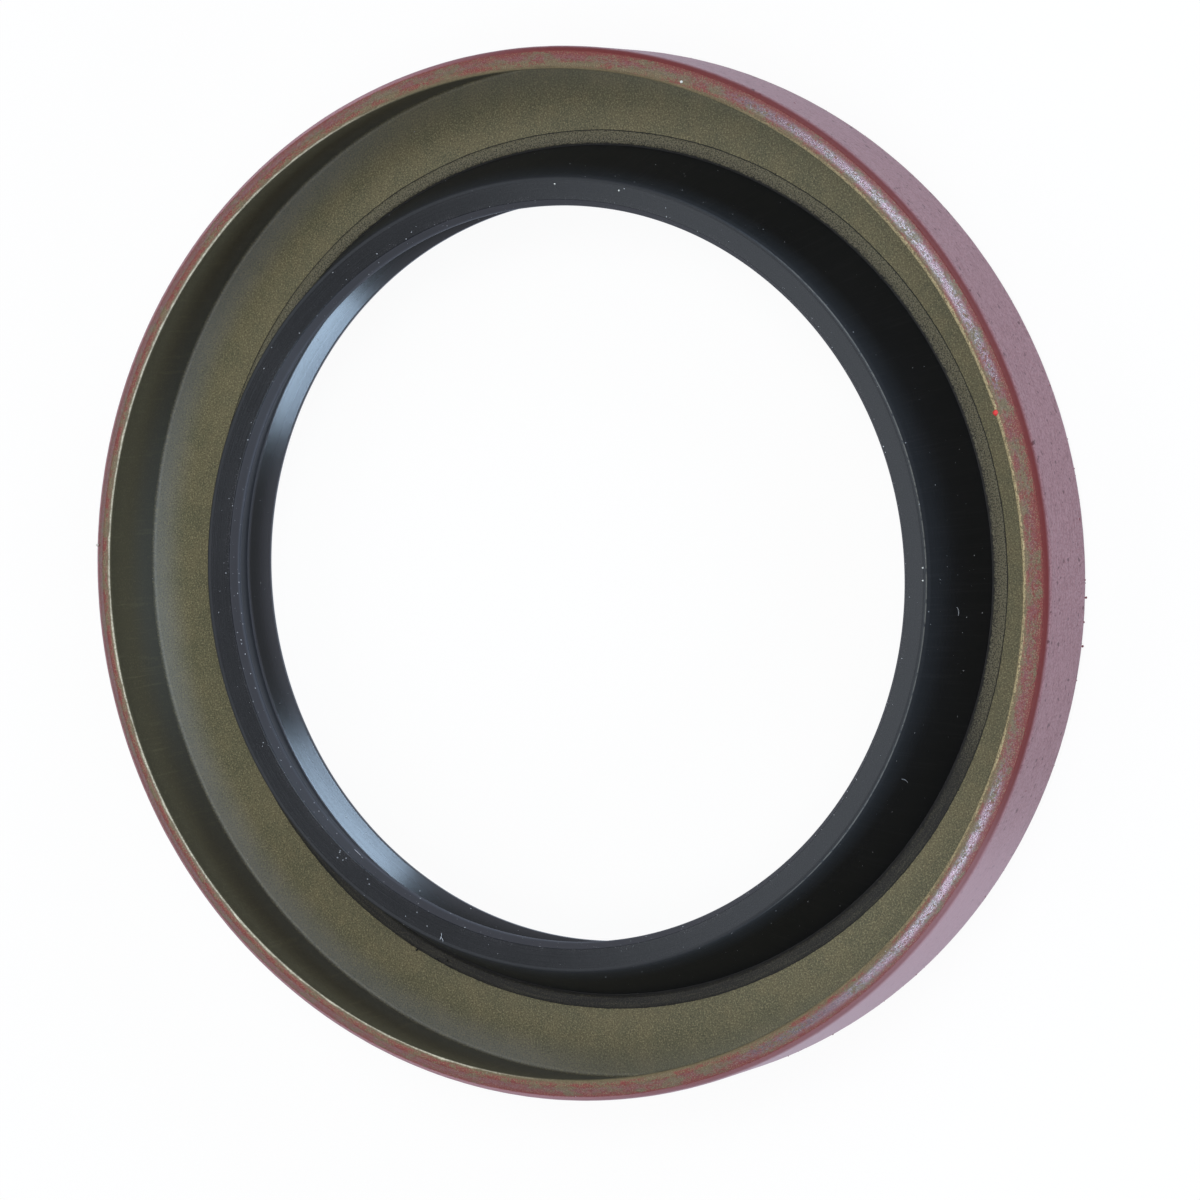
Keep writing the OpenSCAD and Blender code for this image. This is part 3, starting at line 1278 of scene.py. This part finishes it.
@dataclass(frozen=True)
class Spot:
    """A place on the ring: azimuth in degrees, radius and height in millimetres."""

    azimuth: float
    radius: float
    height: float

    def point(self) -> Vector:
        """The place in metres."""
        angle = math.radians(self.azimuth)
        return Vector((self.radius * math.cos(angle), self.radius * math.sin(angle), self.height)) * MM


@dataclass(frozen=True)
class Blobs:
    """Single uneven blobs of one colour and size at chosen places."""

    name: str
    slot: Slot
    colour: Colour
    size: float
    spots: tuple[Spot, ...]
    lumpiness: Weights = (0.6, 0.8)
    lump_size: float = 1.2
    shadow: float = 0.6
    roughness: float = 0.5

    def build(self) -> bpy.types.Object:
        """Sets an uneven ball on each place."""
        maker = NodeMaker(f"{self.name}_balls", {"Size": self.size * MM})
        ball = maker.shape("MeshIcoSphere", "Mesh", Radius=1.0, Subdivisions=2)
        swell = weigh(self.lumpiness, maker.noise(maker.position(), self.lump_size))
        lump = maker.shape("SetPosition", Geometry=ball, Position=maker.scaled(maker.position(), swell))
        size = maker.input("Size")
        balls = maker.shape(
            "InstanceOnPoints",
            "Instances",
            Points=maker.input("Geometry"),
            Instance=lump,
            Scale=maker.vector(size, size, size),
        )
        finish = Speckled(self.name, self.colour, shaded(self.colour, self.shadow), self.roughness)
        seeds = plain_mesh(self.name, [spot.point() for spot in self.spots])
        return settle(maker.run(self.name, seeds, balls, finish.build()), self.slot)


@dataclass(frozen=True)
class Fibre:
    """A curved fibre that lies on a sloping face of the ring.

    The slope is the face's rise towards the shaft in degrees, the bend is how far the fibre
    curves in all and the turn is its direction from the circumference.
    """

    spot: Spot
    slope: float
    length: float
    bend: float
    turn: float

    def points(self, steps: int) -> list[Vector]:
        """Points along the fibre, in metres."""
        azimuth, slope, turn = (math.radians(angle) for angle in (self.spot.azimuth, self.slope, self.turn))
        to_shaft = Vector((-math.cos(azimuth), -math.sin(azimuth), 0))
        round_ring = Vector((-math.sin(azimuth), math.cos(azimuth), 0))
        inwards = to_shaft * math.cos(slope) + Vector((0, 0, math.sin(slope)))
        along = round_ring * math.cos(turn) + inwards * math.sin(turn)
        aside = inwards * math.cos(turn) - round_ring * math.sin(turn)
        radius = self.length / math.radians(self.bend)
        angles = [math.radians(self.bend) * (step / steps - 1 / 2) for step in range(steps + 1)]
        return [
            self.spot.point() + (along * math.sin(angle) + aside * (1 - math.cos(angle))) * radius * MM
            for angle in angles
        ]


@dataclass(frozen=True)
class Lint:
    """Pale fibres on the rubber."""

    fibres: tuple[Fibre, ...]
    thickness: float = 0.03
    steps: int = 10
    colour: Colour = paint(176, 180, 188)
    shadow: float = 0.6

    def build(self) -> bpy.types.Object:
        """Sweeps a thin round section along each fibre."""
        maker = NodeMaker("lint_sweep", {"Thickness": self.thickness * MM})
        path = maker.shape("MeshToCurve", "Curve", Mesh=maker.input("Geometry"))
        thread = maker.thread(path, maker.input("Thickness"), Fill_Caps=True)
        finish = Speckled("lint", self.colour, shaded(self.colour, self.shadow))
        points: list[Vector] = []
        edges: list[tuple[int, int]] = []
        for fibre in self.fibres:
            first = len(points)
            points += fibre.points(self.steps)
            edges += [(first + step, first + step + 1) for step in range(self.steps)]
        seeds = plain_mesh("lint", points, edges)
        return settle(maker.run("lint", seeds, thread, finish.build()), Slot.RUBBER)


@dataclass(frozen=True)
class Lamp:
    """A soft box that faces the ring.

    Azimuth and elevation are in degrees, distances in metres, and its brightness is how many
    times brighter than a white surface it looks.
    """

    name: str
    azimuth: float
    elevation: float
    distance: float
    size: tuple[float, float]
    brightness: float
    tint: tuple[float, float, float] = (1.0, 1.0, 1.0)
    watts_per_brightness: float = 4.0

    def build(self) -> None:
        """Hangs the lamp and turns it to the ring."""
        light = bpy.data.lights.new(self.name, "AREA")
        light.shape = "RECTANGLE"
        light.size, light.size_y = self.size
        light.energy = self.brightness * math.prod(self.size) * self.watts_per_brightness
        light.color = self.tint
        lamp = bpy.data.objects.new(self.name, light)
        azimuth = math.radians(self.azimuth)
        elevation = math.radians(self.elevation)
        level = Vector((math.cos(azimuth), math.sin(azimuth), 0))
        away = level * math.cos(elevation) + Vector((0, 0, math.sin(elevation)))
        lamp.location = away * self.distance
        lamp.rotation_euler = (-away).to_track_quat("-Z", "Y").to_euler()
        bpy.context.scene.collection.objects.link(lamp)


@dataclass(frozen=True)
class Viewpoint:
    """Where the camera stands.

    It looks at the middle of the rim from the side of -Y, leaning back from the shaft's axis,
    and the picture is turned about the line of sight. Clipping is in metres.
    """

    target_height: float = 8.684
    tilt: float = 25.45
    roll: float = 97.56
    depth: float = 440.79
    aside: float = 3.69
    below: float = 1.925
    focal_length: float = 164.36
    clipping: tuple[float, float] = (0.01, 20.0)

    def build(self) -> None:
        """Makes the camera the scene's camera."""
        camera = bpy.data.cameras.new("camera")
        camera.lens = self.focal_length
        camera.clip_start, camera.clip_end = self.clipping
        lean = Matrix.Rotation(math.radians(self.tilt), 3, "X")
        turn = lean @ Matrix.Rotation(math.radians(-self.roll), 3, "Z")
        right, up, back = (turn.col[axis] for axis in range(3))
        away = back * self.depth + right * self.aside - up * self.below
        spot = (away + Vector((0, 0, self.target_height))) * MM
        stand = bpy.data.objects.new("camera", camera)
        stand.matrix_world = Matrix.Translation(spot) @ turn.to_4x4()
        bpy.context.scene.collection.objects.link(stand)
        bpy.context.scene.camera = stand


@dataclass
class Studio:
    """Pale floor, soft lamps and the picture's view; the floor's own half width is in metres."""

    viewpoint: Viewpoint = Viewpoint()
    world: Colour = (1.0, 0.98, 0.94, 1.0)
    world_strength: float = 0.3
    floor_half: float = 3.0
    floor_drop: float = 0.02
    floor_paint: Colour = paint(236, 236, 238)
    floor_share: float = 0.93
    mirrored: Colour = (0.78, 0.85, 1.0, 1.0)
    mirrored_near: float = 0.9
    mirrored_far: float = 0.35
    mirrored_bore: float = 0.28
    bore: Step = (29.0, 28.0)
    fade: Step = (132.0, 52.0)
    lamps: tuple[Lamp, ...] = (
        Lamp("soft_box_left", 211, 19, 1.2, (0.66, 0.3), 8.8, (0.62, 0.8, 1.0)),
        Lamp("soft_box_right", 318, 20, 1.2, (0.78, 0.3), 8.4, (0.62, 0.8, 1.0)),
        Lamp("overhead_right", 330, 64, 1.3, (0.6, 0.6), 3.9, (0.94, 0.97, 1.0)),
        Lamp("overhead_left", 215, 68, 1.3, (0.6, 0.6), 2.4, (0.94, 0.97, 1.0)),
        Lamp("far_side", 90, 46, 1.4, (2.0, 0.8), 1.0, (0.93, 0.96, 1.0)),
    )

    def build(self) -> None:
        """Lays the floor, hangs the lamps, lights the world and sets the camera."""
        self._world()
        self._floor()
        for lamp in self.lamps:
            lamp.build()
        self.viewpoint.build()
        bpy.context.scene.view_settings.view_transform = "Standard"

    def _world(self) -> None:
        """Even light from everywhere, and white for the camera."""
        world = bpy.data.worlds.new("studio")
        bpy.context.scene.world = world
        world.use_nodes = True
        world.node_tree.nodes.clear()
        bench = Bench(world.node_tree)
        seen = bench.wire("ShaderNodeLightPath", "Is Camera Ray")
        strength = seen * (1 - self.world_strength) + self.world_strength
        sockets = {"Color": bench.blend(seen, self.world, WHITE), "Strength": strength}
        light = bench.node("ShaderNodeBackground", None, sockets)
        bench.node("ShaderNodeOutputWorld", None, {"Surface": light.outputs["Background"]})

    def _floor(self) -> None:
        """A white floor that keeps part of the ring's shadow and looks cooler in reflections.

        Reflections see it bright round the ring and dim inside the bore.
        """
        half = self.floor_half
        drop = -self.floor_drop * MM
        sheet = [Vector((x * half, y * half, drop)) for x, y in ((-1, -1), (1, -1), (1, 1), (-1, 1))]
        floor = bpy.data.objects.new("floor", plain_mesh("floor", sheet, faces=((0, 1, 2, 3),)))
        bpy.context.scene.collection.objects.link(floor)
        material = bpy.data.materials.new("floor")
        place = Place(material)
        camera = place.wire("ShaderNodeLightPath", "Is Camera Ray")
        glossy = place.wire("ShaderNodeLightPath", "Is Glossy Ray")
        near = self.mirrored_near
        level = self.mirrored_far + (near - self.mirrored_far) * place.radius.rise(*self.fade)
        level = level + (self.mirrored_bore - near) * place.radius.rise(*self.bore)
        matt = place.node("ShaderNodeBsdfDiffuse", None, {"Color": self.floor_paint})
        sockets = {"Color": place.blend(glossy, WHITE, self.mirrored), "Strength": 1 - glossy * (1 - level)}
        white = place.node("ShaderNodeEmission", None, sockets)
        share = camera * self.floor_share + glossy
        sockets = {"Fac": share, 1: matt.outputs["BSDF"], 2: white.outputs["Emission"]}
        mixed = place.node("ShaderNodeMixShader", None, sockets)
        place.node("ShaderNodeOutputMaterial", None, {"Surface": mixed.outputs["Shader"]})
        floor.data.materials.append(material)


def mount_radius(name: str) -> float:
    """The radius in millimetres of one of the record's round mounts."""
    return next(mount["dims"]["r_mm"] for mount in frame["record"]["mounts"] if mount["name"] == name)


CONE_SLOPE = 70.0
NOSE_SLOPE = -12.0

FIBRES = (
    Fibre(Spot(258.0, 33.42, 4.75), CONE_SLOPE, 0.75, 70, 20),
    Fibre(Spot(233.6, 33.12, 5.54), CONE_SLOPE, 0.9, 40, 75),
    Fibre(Spot(152.4, 31.5, 8.4), NOSE_SLOPE, 0.55, 40, 100),
    Fibre(Spot(152.7, 31.65, 8.43), NOSE_SLOPE, 0.45, 60, 145),
    Fibre(Spot(133.1, 29.85, 7.35), CONE_SLOPE, 0.8, 60, 5),
    Fibre(Spot(134.2, 29.9, 7.4), CONE_SLOPE, 0.35, 80, 175),
)

BLACK = paint(30, 29, 28)
RED = paint(122, 50, 58)
CHIP_RED = paint(235, 60, 58)
CHALK = paint(226, 226, 220)
CRUMB_GREY = paint(150, 152, 158)

RED_LUMPS = (
    Spot(255.0, 42.45, 0.55), Spot(257.6, 42.45, 0.85), Spot(260.2, 42.46, 0.6), Spot(262.1, 42.45, 0.95),
)
RED_CHIP = (Spot(281.2, 40.75, 9.87),)
WHITE_DROPS = (Spot(335.0, 41.13, 9.97), Spot(79.5, 42.2, 9.12))
WHITE_CRUMBS = (
    Spot(264.2, 31.82, 8.43), Spot(262.4, 31.8, 8.43), Spot(351.8, 31.47, 8.36), Spot(341.4, 31.41, 8.35),
)
PALE_CRUMBS = (
    Spot(122.2, 29.84, 7.32), Spot(123.8, 29.91, 7.45), Spot(128.5, 29.94, 7.5), Spot(131.5, 31.06, 8.25),
    Spot(132.6, 30.6, 8.14), Spot(132.4, 30.89, 8.21), Spot(131.1, 30.51, 8.12), Spot(137.4, 30.71, 8.17),
    Spot(138.1, 30.94, 8.22), Spot(133.7, 33.77, 3.61), Spot(82.8, 29.77, 7.18), Spot(84.2, 29.78, 7.22),
    Spot(90.9, 29.78, 7.22), Spot(92.1, 30.09, 7.79), Spot(115.2, 29.84, 7.32),
)
BLACK_CRUMBS = (Spot(144.4, 36.06, 0.84), Spot(149.0, 35.5, 0.9), Spot(147.6, 35.8, 0.86))

SINGLES = (
    Blobs("sealant_lumps", Slot.SEALANT, RED, 0.1, RED_LUMPS),
    Blobs("red_chip", Slot.SEALANT, CHIP_RED, 0.25, RED_CHIP),
    Blobs("white_drops", Slot.STEEL, CHALK, 0.12, WHITE_DROPS),
    Blobs("white_crumbs", Slot.RUBBER, CHALK, 0.07, WHITE_CRUMBS),
    Blobs("pale_crumbs", Slot.RUBBER, CRUMB_GREY, 0.06, PALE_CRUMBS),
    Blobs("black_crumbs", Slot.RUBBER, BLACK, 0.1, BLACK_CRUMBS),
)

LIP = Band(outer=30.5, bottom=7.0)
FLANGE = Band(inner=35.5, outer=40.5, top=0.9)
FRINGE = Band(inner=35.6, outer=36.15, top=0.9)
BACK_EDGE = Band(bottom=0.5, top=1.4)
WALL = Band(bottom=1.4, top=8.0)
ANY_WAY = -2

RUBBER_DUST = (
    Dust("rubber_dust", Slot.RUBBER, per_square_cm=20.0, largest=0.06),
    Dust("lip_dust", Slot.RUBBER, per_square_cm=110.0, smallest=0.02, largest=0.07, band=LIP, seed=5),
)
CASE_DUST = (
    Dust("case_dust", Slot.STEEL, per_square_cm=3.0, seed=8),
    Dust("flange_grit", Slot.RUBBER, BLACK, 0.6, 0.03, 0.09, 0.5, FLANGE, seed=4),
    Dust("fringe_grit", Slot.RUBBER, BLACK, 60.0, 0.02, 0.08, 0.5, FRINGE, seed=9),
)
SEALANT_DUST = (
    Dust("sealant_crumbs", Slot.SEALANT, RED, 50.0, 0.03, 0.08, 0.9, BACK_EDGE, ANY_WAY, seed=2),
    Dust("sealant_drops", Slot.SEALANT, RED, 3.0, 0.03, 0.12, 0.25, WALL, ANY_WAY, seed=6),
)


def main() -> None:
    """Builds the seal piece by piece and what lies on it, then the studio."""
    logging.basicConfig(level=logging.INFO, format="%(name)s: %(message)s")
    _, case_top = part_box("case")
    case = SteelCase(outer=case_top.x / MM, width=case_top.z / MM)
    element = RubberElement(edge=mount_radius("shaft_lip"), case=case)
    steel = case.build()
    sealant = SealantCoat(case=case, outer=mount_radius("housing_fit")).build()
    rubber = element.build()
    MouldFlash(element).build()
    for carrier, layers in ((rubber, RUBBER_DUST), (steel, CASE_DUST), (sealant, SEALANT_DUST)):
        for dust in layers:
            dust.build(carrier)
    for blobs in SINGLES:
        blobs.build()
    Lint(FIBRES).build()
    Studio().build()


if __name__ == "__main__":
    main()
